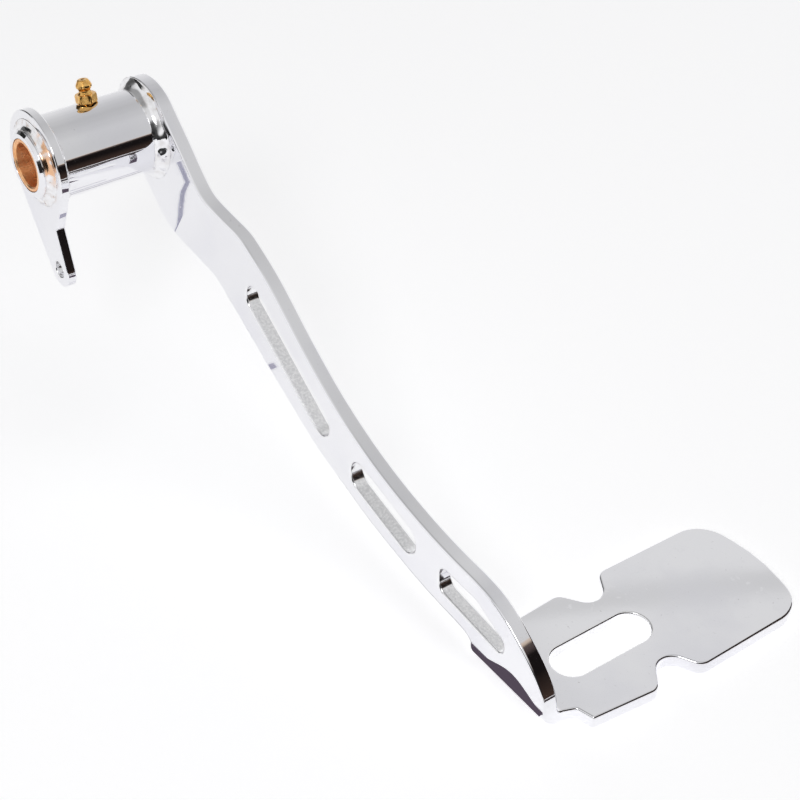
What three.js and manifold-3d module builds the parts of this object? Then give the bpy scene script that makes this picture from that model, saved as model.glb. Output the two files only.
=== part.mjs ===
// Motorcycle rear brake pedal lever: a greased cross tube on two bronze bushes, a crank ear for the
// brake rod, a slotted arm that is joggled outwards, and a foot plate bent out of the arm's own plate.
// Millimetres. The pivot axis is Y, with y = 0 at the tube's crank end. +X runs from the pivot towards
// the pedal, +Z is the foot plate's upper normal.
import * as THREE from 'three';
import { mergeVertices } from 'three/addons/utils/BufferGeometryUtils.js';
import Module from 'manifold-3d';

const wasm = await Module();
wasm.setup();

// ---------------------------------------------------------------- driving dimensions
const GAP = 0.3; // between pieces that touch
const ROUND = 56; // facets round the tube

const TUBE_R = 17.5; // body of the cross tube
const SPIGOT_R = 14.2; // turned-down end that carries a plate
const SPIGOT_CHAMFER = 1.2;
const HUB_LENGTH = 63.4; // end to end over both spigots
const CHAMBER_R = 12.4; // grease chamber between the bushes

const BUSH_R = 11;
const BUSH_BORE_R = 9.2;
const BUSH_LENGTH = 22;
const BUSH_LIP = 0.6; // chamfer of the bore's mouth
const BUSH_GAP = 0.15;

const CRANK_Y = 4.2; // outer face of the crank plate
const CRANK_T = 4.1;
const CRANK_R = 21.7;
const CRANK_ARC = [-28, 186]; // degrees of the round head's edge
const CRANK_BACK = [[-22.2, -4.5], [-20.2, -12.5], [-12.4, -23.6]]; // [x, z] down to the ear
const CRANK_HOLLOW = [[13.7, -25.2], [15.6, -19.8], [18.1, -14.2]]; // [x, z] up from the ear
const CLEVIS_CENTRE = [12.8, -44.6];
const CLEVIS_EYE_R = 7.6;
const CLEVIS_ARC = [-143, 21];
const CLEVIS_HOLE_R = 3.5;

const PLATE_T = 6.4; // stock that the arm and foot plate are bent from
const ARM_Y = 54; // inner face of the arm at the pivot
const BOSS_R = 21.4;
const BOSS_ARC = [-102, -312];
const JOG = 5; // the arm steps outwards by this much
const JOG_DIRECTION = [0.83, -0.557]; // along the arm, square to the two bend lines
const JOG_START = 43.4; // distance of each bend line from the pivot axis
const JOG_END = 65.2;

const FOOT_Z = -116.75; // upper face of the foot plate
const FOOT_X = 250.7; // its centreline
const FOOT_BEND_R = 9; // outer radius of the bend
const BEND_REAR = -26.5; // the bend's two ends, measured across the foot plate
const BEND_FRONT = 17.8;
const FOOT_SLOT_START = 87;
const FOOT_SLOT_END = 116.9;
const FOOT_SLOT_R = 8;
const FOOT_CORNER = [181.5, 29.4, 15]; // [y, across, radius] of its outer corners
const FOOT_APEX = [187.4, 0, 70]; // the bowed outer end

const NIPPLE_Y = 31.5;
const NIPPLE_TILT = THREE.MathUtils.degToRad(14.5); // leans back from the plate's normal
const NIPPLE_HEX = 8; // across flats
const NIPPLE_BORE_R = 1.5;
const BALL_R = 1.25;
const WIRE_R = 0.2;

const ARM_INNER_Y = ARM_Y + JOG;
const BEND_Y = ARM_INNER_Y + FOOT_BEND_R;
const BEND_Z = FOOT_Z - PLATE_T + FOOT_BEND_R;

// ---------------------------------------------------------------- materials
const finish = (color, roughness, metalness = 1) =>
  new THREE.MeshStandardMaterial({ color, roughness, metalness });
const CHROME = finish(0xd9dade, 0.06);
const BRONZE = finish(0xc9793f, 0.28);
const BRASS = finish(0xc79a45, 0.22);
const STEEL = finish(0xa9abad, 0.3);

// ---------------------------------------------------------------- solids
function toSolid(geometry) {
  const bare = geometry.index ? geometry.clone() : geometry;
  bare.deleteAttribute('normal');
  bare.deleteAttribute('uv');
  const merged = mergeVertices(bare, 1e-5);
  return new wasm.Manifold(
    new wasm.Mesh({
      numProp: 3,
      vertProperties: Float32Array.from(merged.attributes.position.array),
      triVerts: Uint32Array.from(merged.index.array),
    }),
  );
}

function toGeometry(solid) {
  const mesh = solid.getMesh();
  const geometry = new THREE.BufferGeometry();
  geometry.setAttribute('position', new THREE.BufferAttribute(mesh.vertProperties, 3));
  geometry.setIndex(new THREE.BufferAttribute(mesh.triVerts, 1));
  geometry.computeVertexNormals();
  return geometry;
}

// A ring or bar about the Y axis; points are [radius, y] and the profile closes on itself.
function turned(points, facets = ROUND) {
  const profile = points.map(([r, y]) => new THREE.Vector2(r, y));
  const closed = profile[0].x > 0 ? [...profile, profile[0].clone()] : profile;
  return new THREE.LatheGeometry(closed, facets);
}

// Corners [u, v, radius] become a shape with each corner rounded by a tangent arc.
function roundedCorners(corners) {
  const outline = [];
  corners.forEach(([u, v, radius], i) => {
    const corner = new THREE.Vector2(u, v);
    const before = corners[(i + corners.length - 1) % corners.length];
    const after = corners[(i + 1) % corners.length];
    const back = new THREE.Vector2(before[0], before[1]).sub(corner).normalize();
    const ahead = new THREE.Vector2(after[0], after[1]).sub(corner).normalize();
    if (!radius) {
      outline.push(corner);
      return;
    }
    const half = Math.acos(THREE.MathUtils.clamp(back.dot(ahead), -1, 1)) / 2;
    const middle = back.clone().add(ahead).normalize();
    const centre = corner.clone().addScaledVector(middle, radius / Math.sin(half));
    const reach = radius / Math.tan(half);
    const from = corner.clone().addScaledVector(back, reach).sub(centre).angle();
    const to = corner.clone().addScaledVector(ahead, reach).sub(centre).angle();
    let sweep = to - from;
    if (sweep > Math.PI) sweep -= 2 * Math.PI;
    if (sweep < -Math.PI) sweep += 2 * Math.PI;
    const steps = Math.max(2, Math.ceil(Math.abs(sweep) / 0.35));
    for (let k = 0; k <= steps; k++) {
      const angle = from + (sweep * k) / steps;
      outline.push(new THREE.Vector2(Math.cos(angle), Math.sin(angle)).multiplyScalar(radius).add(centre));
    }
  });
  return outline;
}

const splinePoints = (knots, count) =>
  new THREE.SplineCurve(knots.map(([u, v]) => new THREE.Vector2(u, v))).getPoints(count);

// An arc drawn anticlockwise or clockwise between two angles in degrees, in as many steps as asked.
function arcPoints([first, last], radius, steps, [u, v] = [0, 0]) {
  const points = [];
  for (let k = 0; k <= steps; k++) {
    const angle = THREE.MathUtils.degToRad(first + ((last - first) * k) / steps);
    points.push(new THREE.Vector2(u + radius * Math.cos(angle), v + radius * Math.sin(angle)));
  }
  return points;
}

const extruded = (outline, depth) =>
  new THREE.ExtrudeGeometry(new THREE.Shape(outline), { depth, bevelEnabled: false, steps: 1 });

// An outline in [x, z] becomes a plate from y = start to y = start + depth.
const platedXZ = (outline, start, depth) =>
  extruded(outline, depth).rotateX(Math.PI / 2).translate(0, start + depth, 0);

// An outline in [x, y] becomes a plate from z = start to z = start + depth.
const platedXY = (outline, start, depth) => extruded(outline, depth).translate(0, 0, start);

const barY = (radius, start, end, x = 0, z = 0, facets = 24) =>
  new THREE.CylinderGeometry(radius, radius, end - start, facets).translate(x, (start + end) / 2, z);

function box(low, high) {
  const size = high.map((value, i) => value - low[i]);
  const middle = high.map((value, i) => (value + low[i]) / 2);
  return new THREE.BoxGeometry(...size).translate(...middle);
}

// ---------------------------------------------------------------- cross tube and bushes
function pivotTube() {
  const bore = BUSH_R + BUSH_GAP;
  const seat = BUSH_LENGTH + GAP;
  const tube = toSolid(
    turned([
      [bore, 0],
      [SPIGOT_R - SPIGOT_CHAMFER, 0],
      [SPIGOT_R, SPIGOT_CHAMFER],
      [SPIGOT_R, CRANK_Y + CRANK_T + GAP],
      [TUBE_R, CRANK_Y + CRANK_T + GAP],
      [TUBE_R, ARM_Y - GAP],
      [SPIGOT_R, ARM_Y - GAP],
      [SPIGOT_R, HUB_LENGTH - SPIGOT_CHAMFER],
      [SPIGOT_R - SPIGOT_CHAMFER, HUB_LENGTH],
      [bore, HUB_LENGTH],
      [bore, HUB_LENGTH - seat],
      [CHAMBER_R, HUB_LENGTH - seat - 1],
      [CHAMBER_R, seat + 1],
      [bore, seat],
    ]),
  );
  const tapping = new THREE.CylinderGeometry(NIPPLE_STEM_R + GAP / 2, NIPPLE_STEM_R + GAP / 2, 10, 20);
  tapping.translate(0, TUBE_R - 2, 0).applyMatrix4(nipplePlace);
  return toGeometry(tube.subtract(toSolid(tapping)));
}

const bush = () =>
  turned([
    [BUSH_BORE_R + BUSH_LIP, 0],
    [BUSH_R - BUSH_LIP / 2, 0],
    [BUSH_R, BUSH_LIP / 2],
    [BUSH_R, BUSH_LENGTH - BUSH_LIP],
    [BUSH_R - BUSH_LIP, BUSH_LENGTH],
    [BUSH_BORE_R, BUSH_LENGTH],
    [BUSH_BORE_R, BUSH_LIP],
  ]);

// ---------------------------------------------------------------- crank plate
function crankPlate() {
  const outline = [
    ...arcPoints(CRANK_ARC, CRANK_R, 24),
    ...splinePoints(CRANK_BACK, 4),
    ...arcPoints(CLEVIS_ARC, CLEVIS_EYE_R, 10, CLEVIS_CENTRE),
    ...splinePoints(CRANK_HOLLOW, 5),
  ];
  const plate = toSolid(platedXZ(outline, CRANK_Y, CRANK_T));
  const spigotHole = barY(SPIGOT_R + GAP, 0, 2 * CRANK_Y + CRANK_T, 0, 0, ROUND);
  const clevisHole = barY(CLEVIS_HOLE_R, 0, 2 * CRANK_Y + CRANK_T, ...CLEVIS_CENTRE);
  return toGeometry(plate.subtract(toSolid(spigotHole)).subtract(toSolid(clevisHole)));
}

// ---------------------------------------------------------------- arm and foot plate, one bent plate
const ARM_TOP_EDGE = [
  [14.6, 15.6], [26.6, 5.2], [44.2, -9.9], [66, -20.2], [85.5, -30.2], [110, -47.4], [130, -59.6],
  [150, -68.6], [170, -74.9], [191.7, -79.2], [209, -81.1], [224, -81.8], [234, -83.3], [244, -87.4],
  [255.7, -95.3], [262.6, -101.6], [267, -108], [268.5, BEND_Z - 1],
];
const ARM_LOWER_EDGE = [
  [224.2, -113.2], [221, -111.2], [208.5, -110], [195.7, -109], [179.2, -106.4], [157.7, -101.8],
  [137.8, -95.6], [121.3, -90.3], [99.5, -79.4], [82, -70.2], [64.4, -60.4], [46, -50.6], [26.1, -41],
  [18.1, -39], [10.3, -34.6], [2.6, -28.2], [-4, -22.6],
];

const armOutline = () => [
  ...splinePoints(ARM_TOP_EDGE, 60),
  new THREE.Vector2(FOOT_X + BEND_FRONT, BEND_Z - 1),
  new THREE.Vector2(FOOT_X + BEND_REAR, BEND_Z - 1),
  ...splinePoints(ARM_LOWER_EDGE, 52),
  ...arcPoints(BOSS_ARC, BOSS_R, 26),
];

function stadium([u1, v1], [u2, v2], radius, steps = 8) {
  const along = Math.atan2(v2 - v1, u2 - u1);
  const points = [];
  for (const [u, v, turn] of [[u2, v2, -Math.PI / 2], [u1, v1, Math.PI / 2]]) {
    for (let k = 0; k <= steps; k++) {
      const angle = along + turn + (Math.PI * k) / steps;
      points.push(new THREE.Vector2(u + radius * Math.cos(angle), v + radius * Math.sin(angle)));
    }
  }
  return points;
}

const ARM_SLOTS = [
  stadium([75.2, -44.9], [123, -75.2], 6.2),
  stadium([151.4, -85.4], [180.9, -92.8], 7),
  roundedCorners([
    [203, -90.2, 5], [203.3, -102.4, 4.5], [242.2, -105.6, 3.6], [243.2, -98.4, 3.4], [226, -90.4, 9],
  ]),
];

// One edge of the foot plate from the bend to its outer end, as [y, across, radius] corners.
const footEdge = (side, neck) => [
  ...neck,
  [104.8, 29.7 * side, 5], [117.1, 13.3 * side, 6.9], [126.6, 30.3 * side, 6],
  [FOOT_CORNER[0], FOOT_CORNER[1] * side, FOOT_CORNER[2]],
];

function footOutline() {
  const front = footEdge(1, [[BEND_Y, BEND_FRONT, 0], [73, 19.6, 1.5], [75.2, 26.9, 0.6]]);
  const rear = footEdge(-1, [[BEND_Y, BEND_REAR, 0], [77, -28, 4]]);
  const corners = [...rear, FOOT_APEX, ...front.reverse()];
  return roundedCorners(corners).map(({ x, y }) => new THREE.Vector2(FOOT_X + y, x));
}

function leverArm() {
  const [jogX, jogZ] = JOG_DIRECTION;
  const flat = toSolid(platedXZ(armOutline(), ARM_Y, PLATE_T));
  const lean = Math.atan2(-jogZ, jogX);
  const band = (from, to) =>
    toSolid(box([from, ARM_Y - 5, -200], [to, ARM_Y + PLATE_T + 5, 200]).rotateY(lean));
  const slope = JOG / (JOG_END - JOG_START);
  const overlap = 0.02;
  const boss = flat.intersect(band(-60, JOG_START));
  const outer = flat.intersect(band(JOG_END, 400)).translate([0, JOG, 0]);
  const shear = new THREE.Matrix4().set(
    1, 0, 0, 0,
    slope * jogX, 1, slope * jogZ, -slope * JOG_START,
    0, 0, 1, 0,
    0, 0, 0, 1,
  );
  const slanted = toGeometry(flat.intersect(band(JOG_START - overlap, JOG_END + overlap)));
  const jog = toSolid(slanted.applyMatrix4(shear));

  const bendCentre = [BEND_Y, BEND_Z];
  const outerArc = arcPoints([180, 270], FOOT_BEND_R, 8, bendCentre);
  const innerArc = arcPoints([270, 180], FOOT_BEND_R - PLATE_T, 8, bendCentre);
  // the profile is drawn in [y, z]; this turn lays it along X
  const alongX = new THREE.Matrix4().set(
    0, 0, 1, FOOT_X + BEND_REAR,
    1, 0, 0, 0,
    0, 1, 0, 0,
    0, 0, 0, 1,
  );
  const bend = extruded([...outerArc, ...innerArc], BEND_FRONT - BEND_REAR).applyMatrix4(alongX);

  const foot = toSolid(platedXY(footOutline(), FOOT_Z - PLATE_T, PLATE_T));
  const keySlot = stadium([FOOT_X, FOOT_SLOT_START], [FOOT_X, FOOT_SLOT_END], FOOT_SLOT_R);
  const trimBelow = box([180, ARM_Y, BEND_Z - 20], [300, BEND_Y + 20, BEND_Z]);
  let arm = boss.add(jog).add(outer.subtract(toSolid(trimBelow)));
  for (const slot of ARM_SLOTS) {
    arm = arm.subtract(toSolid(platedXZ(slot, ARM_Y - 5, PLATE_T + JOG + 10)));
  }
  arm = arm.subtract(toSolid(barY(SPIGOT_R + GAP, ARM_Y - 5, ARM_Y + 20, 0, 0, ROUND)));
  const pedal = foot.subtract(toSolid(platedXY(keySlot, FOOT_Z - 2 * PLATE_T, 3 * PLATE_T)));
  return toGeometry(arm.add(toSolid(bend)).add(pedal));
}

// ---------------------------------------------------------------- weld beads
// A fillet between a cylinder of the given radius and a plate face at y = face; side is +1 where the
// bead lies on the plate's +Y side.
const weldBead = (radius, face, legR, legY, side) => {
  const r = radius + GAP;
  const y = face + side * GAP;
  const points = [
    [r, y],
    [r + legR, y],
    [r + legR * 0.93, y + side * legY * 0.32],
    [r + legR * 0.62, y + side * legY * 0.72],
    [r + legR * 0.22, y + side * legY],
    [r, y + side * legY],
  ];
  return turned(side > 0 ? points : points.reverse(), 40);
};

// ---------------------------------------------------------------- grease nipple
// Drawn about its own axis, from the tube's centre line outwards, then leant back.
const NIPPLE_STEM_R = 2.9;
const STEM_FOOT = 12.6; // distances from the tube's axis
const HEX_FOOT = TUBE_R + GAP;
const HEX_TOP = HEX_FOOT + 3.4;
const TIP = HEX_TOP + 6;
const SEAT = TIP - 1.6;
const BALL_CENTRE = SEAT - 1.07;
const nipplePlace = new THREE.Matrix4()
  .makeTranslation(0, NIPPLE_Y, 0)
  .multiply(new THREE.Matrix4().makeRotationX(Math.PI / 2))
  .multiply(new THREE.Matrix4().makeRotationZ(NIPPLE_TILT));

function nippleBody() {
  const body = toSolid(
    turned(
      [
        [0.85, STEM_FOOT],
        [NIPPLE_STEM_R, STEM_FOOT],
        [NIPPLE_STEM_R, HEX_FOOT + 1],
        [3.1, HEX_FOOT + 1],
        [3.1, HEX_TOP],
        [2.45, HEX_TOP + 0.9],
        [2.35, HEX_TOP + 1.5],
        [3.3, HEX_TOP + 2.9],
        [3.3, HEX_TOP + 3.7],
        [2.3, TIP - 0.3],
        [1.9, TIP],
        [0.75, TIP],
        [0.75, SEAT],
        [NIPPLE_BORE_R, SEAT - 0.75],
        [NIPPLE_BORE_R, STEM_FOOT + 0.7],
        [0.85, STEM_FOOT + 0.4],
      ],
      28,
    ),
  );
  const cornerR = NIPPLE_HEX / Math.sqrt(3);
  const hex = new THREE.CylinderGeometry(cornerR, cornerR, HEX_TOP - HEX_FOOT, 6);
  hex.translate(0, (HEX_TOP + HEX_FOOT) / 2, 0);
  const passage = new THREE.CylinderGeometry(NIPPLE_BORE_R, NIPPLE_BORE_R, HEX_TOP - HEX_FOOT + 1, 28);
  passage.translate(0, (HEX_TOP + HEX_FOOT) / 2, 0);
  return toGeometry(body.add(toSolid(hex).subtract(toSolid(passage))));
}

function checkSpring() {
  const low = STEM_FOOT + 0.7 + WIRE_R + 0.1;
  const high = BALL_CENTRE - BALL_R - WIRE_R - 0.05;
  const turns = 6;
  const radius = NIPPLE_BORE_R - WIRE_R - 0.08;
  const steps = 14 * turns;
  const path = [];
  for (let k = 0; k <= steps; k++) {
    const angle = (2 * Math.PI * turns * k) / steps;
    const height = low + ((high - low) * k) / steps;
    path.push(new THREE.Vector3(radius * Math.cos(angle), height, radius * Math.sin(angle)));
  }
  const wire = new THREE.Shape(new THREE.EllipseCurve(0, 0, WIRE_R, WIRE_R).getPoints(6).slice(0, 6));
  const extrudePath = new THREE.CatmullRomCurve3(path);
  return new THREE.ExtrudeGeometry(wire, { extrudePath, steps, bevelEnabled: false });
}

// ---------------------------------------------------------------- assembly
const group = new THREE.Group();
group.name = 'brake_pedal_lever';

function place(name, geometry, material, parent = group) {
  const mesh = new THREE.Mesh(geometry, material);
  mesh.name = name;
  parent.add(mesh);
  return mesh;
}

place('pivot_tube', pivotTube(), CHROME);
place('crank_plate', crankPlate(), CHROME);
place('lever_arm', leverArm(), CHROME);

place('weld_crank_outer', weldBead(SPIGOT_R, CRANK_Y, 2.8, 1.7, -1), CHROME);
place('weld_crank_inner', weldBead(TUBE_R, CRANK_Y + CRANK_T, 2.4, 2.7, 1), CHROME);
place('weld_arm_inner', weldBead(TUBE_R, ARM_Y, 4.2, 4.6, -1), CHROME);
place('weld_arm_outer', weldBead(SPIGOT_R, ARM_Y + PLATE_T, 2.6, 1.7, 1), CHROME);

place('bush_crank_end', bush(), BRONZE);
const farBush = place('bush_arm_end', bush(), BRONZE);
farBush.rotation.x = Math.PI;
farBush.position.y = HUB_LENGTH;

const nipple = new THREE.Group();
nipple.applyMatrix4(nipplePlace);
group.add(nipple);
place('grease_nipple_body', nippleBody(), BRASS, nipple);
place('grease_check_spring', checkSpring(), STEEL, nipple);
const ball = place('grease_check_ball', new THREE.SphereGeometry(BALL_R, 20, 14), STEEL, nipple);
ball.position.y = BALL_CENTRE;

group.updateMatrixWorld(true);
export default group;
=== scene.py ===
import math

import bmesh
import bpy
import numpy as np
from mathutils import Matrix, Vector, noise
from mathutils.geometry import tessellate_polygon


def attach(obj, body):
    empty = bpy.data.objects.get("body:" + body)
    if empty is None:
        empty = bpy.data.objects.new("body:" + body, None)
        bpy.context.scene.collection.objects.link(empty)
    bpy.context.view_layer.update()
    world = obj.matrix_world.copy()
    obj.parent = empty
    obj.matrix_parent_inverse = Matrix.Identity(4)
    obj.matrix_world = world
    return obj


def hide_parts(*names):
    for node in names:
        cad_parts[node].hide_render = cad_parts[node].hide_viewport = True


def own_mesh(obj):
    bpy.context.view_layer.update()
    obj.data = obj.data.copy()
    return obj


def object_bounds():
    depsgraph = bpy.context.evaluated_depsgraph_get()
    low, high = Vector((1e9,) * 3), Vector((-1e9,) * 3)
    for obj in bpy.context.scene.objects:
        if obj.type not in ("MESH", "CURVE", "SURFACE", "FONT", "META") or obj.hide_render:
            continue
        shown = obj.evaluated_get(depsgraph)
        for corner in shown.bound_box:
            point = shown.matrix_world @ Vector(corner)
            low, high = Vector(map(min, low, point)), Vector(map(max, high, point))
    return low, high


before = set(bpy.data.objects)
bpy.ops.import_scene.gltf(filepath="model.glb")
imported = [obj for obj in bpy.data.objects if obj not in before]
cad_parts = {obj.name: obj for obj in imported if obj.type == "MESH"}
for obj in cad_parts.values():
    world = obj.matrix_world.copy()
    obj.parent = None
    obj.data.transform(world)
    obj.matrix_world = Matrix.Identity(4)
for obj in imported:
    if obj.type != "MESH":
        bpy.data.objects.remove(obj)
cad_low, cad_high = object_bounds()

MM = 0.001

# ------------------------------------------------------------------ dimensions, as in the CAD model
GAP = 0.3
TUBE_R = 17.5
SPIGOT_R = 14.2
SPIGOT_CHAMFER = 1.2
HUB_LENGTH = 63.4
CHAMBER_R = 12.4  # grease chamber between the bushes
BUSH_R = 11.0
BUSH_BORE_R = 9.2
BUSH_LENGTH = 22.0
BUSH_GAP = 0.15
BUSH_LIP = 0.6
CRANK_Y = 4.2
CRANK_T = 4.1
CRANK_R = 21.7
CRANK_ARC = (-28, 186)
CRANK_BACK = [(-22.2, -4.5), (-20.2, -12.5), (-12.4, -23.6)]
CRANK_HOLLOW = [(13.7, -25.2), (15.6, -19.8), (18.1, -14.2)]
CLEVIS_CENTRE = (12.8, -44.6)
CLEVIS_EYE_R = 7.6
CLEVIS_ARC = (-143, 21)
CLEVIS_HOLE_R = 3.5
PLATE_T = 6.4
ARM_Y = 54.0
BOSS_R = 21.4
BOSS_ARC = (-102, -312)
JOG = 5.0
JOG_DIRECTION = (0.83, -0.557)
JOG_START = 43.4
JOG_END = 65.2
FOOT_Z = -116.75
FOOT_X = 250.7
FOOT_BEND_R = 9.0
BEND_REAR = -26.5
BEND_FRONT = 17.8
BEND_Y = ARM_Y + JOG + FOOT_BEND_R
BEND_Z = FOOT_Z - PLATE_T + FOOT_BEND_R
FOOT_CORNER = (181.5, 29.4, 15)  # y, across, radius of its outer corners
FOOT_APEX = (187.4, 0, 70)  # the bowed outer end
FOOT_SLOT = (87.0, 116.9, 8.0)  # y of its two end centres, radius
NIPPLE_Y = 31.5
NIPPLE_TILT = math.radians(14.5)
NIPPLE_HEX = 8.0  # across flats
NIPPLE_STEM_R = 2.9
NIPPLE_BORE_R = 1.5
BALL_R = 1.25
HEX_FOOT = TUBE_R + GAP
HEX_TOP = HEX_FOOT + 3.4
TIP = HEX_TOP + 6.0
SEAT = TIP - 1.6
BALL_CENTRE = SEAT - 1.07
STEM_FOOT = 12.6
WIRE_R = 0.2

ARM_TOP_EDGE = [
    (14.6, 15.6), (26.6, 5.2), (44.2, -9.9), (66, -20.2), (85.5, -30.2), (110, -47.4),
    (130, -59.6), (150, -68.6), (170, -74.9), (191.7, -79.2), (209, -81.1), (224, -81.8),
    (234, -83.3), (244, -87.4), (255.7, -95.3), (262.6, -101.6), (267, -108), (268.5, BEND_Z - 1),
]
ARM_LOWER_EDGE = [
    (224.2, BEND_Z + 0.9), (221, -111.2), (208.5, -110), (195.7, -109), (179.2, -106.4),
    (157.7, -101.8), (137.8, -95.6), (121.3, -90.3), (99.5, -79.4), (82, -70.2), (64.4, -60.4),
    (46, -50.6), (26.1, -41), (18.1, -39), (10.3, -34.6), (2.6, -28.2), (-4, -22.6),
]
# The arm's slots: end centres and radius of two stadiums, and the third's corners (x, z, radius).
LONG_SLOT = ((75.2, -44.9), (123, -75.2), 6.2)
MIDDLE_SLOT = ((151.4, -85.4), (180.9, -92.8), 7)
PEDAL_END_SLOT = [(203, -90.2, 5), (203.3, -102.4, 4.5), (242.2, -105.6, 3.6), (243.2, -98.4, 3.4),
                  (226, -90.4, 9)]

# How the mesh is finished, where the CAD model leaves its edges sharp.
POINT_SPACING = 0.02  # points closer together than this are one point
PLATE_BEVEL = 0.9
CRANK_BEVEL = 0.6
BEVEL_STEPS = 5
SPIGOT_HOLE_R = SPIGOT_R + 0.1


# ------------------------------------------------------------------ outlines
def spline(knots, step=1.3, smoothing=3):
    """Points about `step` apart along a smooth curve through the knots."""
    k = [np.array(p, float) for p in knots]
    k = [2 * k[0] - k[1], *k, 2 * k[-1] - k[-2]]
    points = []
    for i in range(1, len(k) - 2):
        count = max(2, round(np.linalg.norm(k[i + 1] - k[i]) / step))
        m1, m2 = (k[i + 1] - k[i - 1]) / 2, (k[i + 2] - k[i]) / 2
        for t in np.arange(count) / count:
            a, b = 2 * t**3 - 3 * t**2 + 1, t**3 - 2 * t**2 + t
            c, d = -2 * t**3 + 3 * t**2, t**3 - t**2
            points.append(a * k[i] + b * m1 + c * k[i + 1] + d * m2)
    points.append(k[-2])
    p = np.array(points)
    for _ in range(smoothing):
        p[1:-1] = 0.25 * p[:-2] + 0.5 * p[1:-1] + 0.25 * p[2:]
    return [tuple(q) for q in p]


def arc(span, radius, centre=(0, 0), step=0.06):
    first, last = (math.radians(a) for a in span)
    count = max(3, math.ceil(abs(last - first) / step))
    angles = [first + (last - first) * k / count for k in range(count + 1)]
    return [(centre[0] + radius * math.cos(a), centre[1] + radius * math.sin(a)) for a in angles]


def rounded(corners, step=0.14):
    """Corners (u, v, radius) as a closed line with each corner turned by a tangent arc."""
    line = []
    for i, (u, v, radius) in enumerate(corners):
        corner = np.array([u, v], float)
        back = np.array(corners[i - 1][:2], float) - corner
        ahead = np.array(corners[(i + 1) % len(corners)][:2], float) - corner
        back, ahead = back / np.linalg.norm(back), ahead / np.linalg.norm(ahead)
        if not radius:
            line.append(tuple(corner))
            continue
        half = math.acos(np.clip(back @ ahead, -1, 1)) / 2
        middle = (back + ahead) / np.linalg.norm(back + ahead)
        centre = corner + middle * radius / math.sin(half)
        reach = radius / math.tan(half)
        start, end = corner + back * reach - centre, corner + ahead * reach - centre
        first = math.atan2(start[1], start[0])
        sweep = math.atan2(end[1], end[0]) - first
        sweep = (sweep + math.pi) % (2 * math.pi) - math.pi
        count = max(3, math.ceil(abs(sweep) / step))
        for k in range(count + 1):
            a = first + sweep * k / count
            line.append((centre[0] + radius * math.cos(a), centre[1] + radius * math.sin(a)))
    return line


def stadium(a, b, radius):
    along = math.degrees(math.atan2(b[1] - a[1], b[0] - a[0]))
    return [*arc((along - 90, along + 90), radius, b), *arc((along + 90, along + 270), radius, a)]


def closed_line(points, turn):
    """Drops doubled points and sets the sense of turning: +1 anticlockwise, -1 clockwise."""
    kept = []
    for p in points:
        if not kept or math.dist(p, kept[-1]) > POINT_SPACING:
            kept.append((float(p[0]), float(p[1])))
    if math.dist(kept[0], kept[-1]) < POINT_SPACING:
        kept.pop()
    line = np.array(kept)
    u, v = line[:, 0], line[:, 1]
    area = 0.5 * np.sum(u * np.roll(v, -1) - np.roll(u, -1) * v)
    return line if area * turn > 0 else line[::-1]


def outward(line):
    """At each point: the mitre's unit direction on the right of the line, its reach, and the normal
    for shading, which a long straight side sets at its own ends."""
    ahead = np.roll(line, -1, 0) - line
    length = np.linalg.norm(ahead, axis=1)[:, None]
    ahead /= length
    behind = np.roll(ahead, 1, 0)
    mean = ahead + behind
    mean /= np.linalg.norm(mean, axis=1)[:, None]
    normal = np.stack([mean[:, 1], -mean[:, 0]], 1)
    cosine = np.clip(np.sum(mean * ahead, 1), 0.5, 1)
    shaded = ahead * length**2 + behind * np.roll(length, 1, 0) ** 2
    shaded /= np.linalg.norm(shaded, axis=1)[:, None]
    return normal, 1 / cosine, np.stack([shaded[:, 1], -shaded[:, 0]], 1)


# ------------------------------------------------------------------ meshes
def new_object(name, vertices, faces, normals=None, materials=(), face_materials=None):
    """A mesh object from millimetre vertices; normals are the surface's exact ones where given."""
    mesh = bpy.data.meshes.new(name)
    mesh.from_pydata([tuple(v * MM) for v in np.asarray(vertices, float)], [], faces)
    for m in materials:
        mesh.materials.append(m)
    if face_materials is not None:
        mesh.polygons.foreach_set("material_index", np.asarray(face_materials, np.int32))
    mesh.shade_smooth()
    if normals is not None:
        mesh.normals_split_custom_set_from_vertices([tuple(n) for n in np.asarray(normals, float)])
    mesh.update()
    obj = bpy.data.objects.new(name, mesh)
    bpy.context.scene.collection.objects.link(obj)
    return obj


def piece(obj, body, node):
    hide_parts(node)
    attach(obj, body)
    return obj


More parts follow.
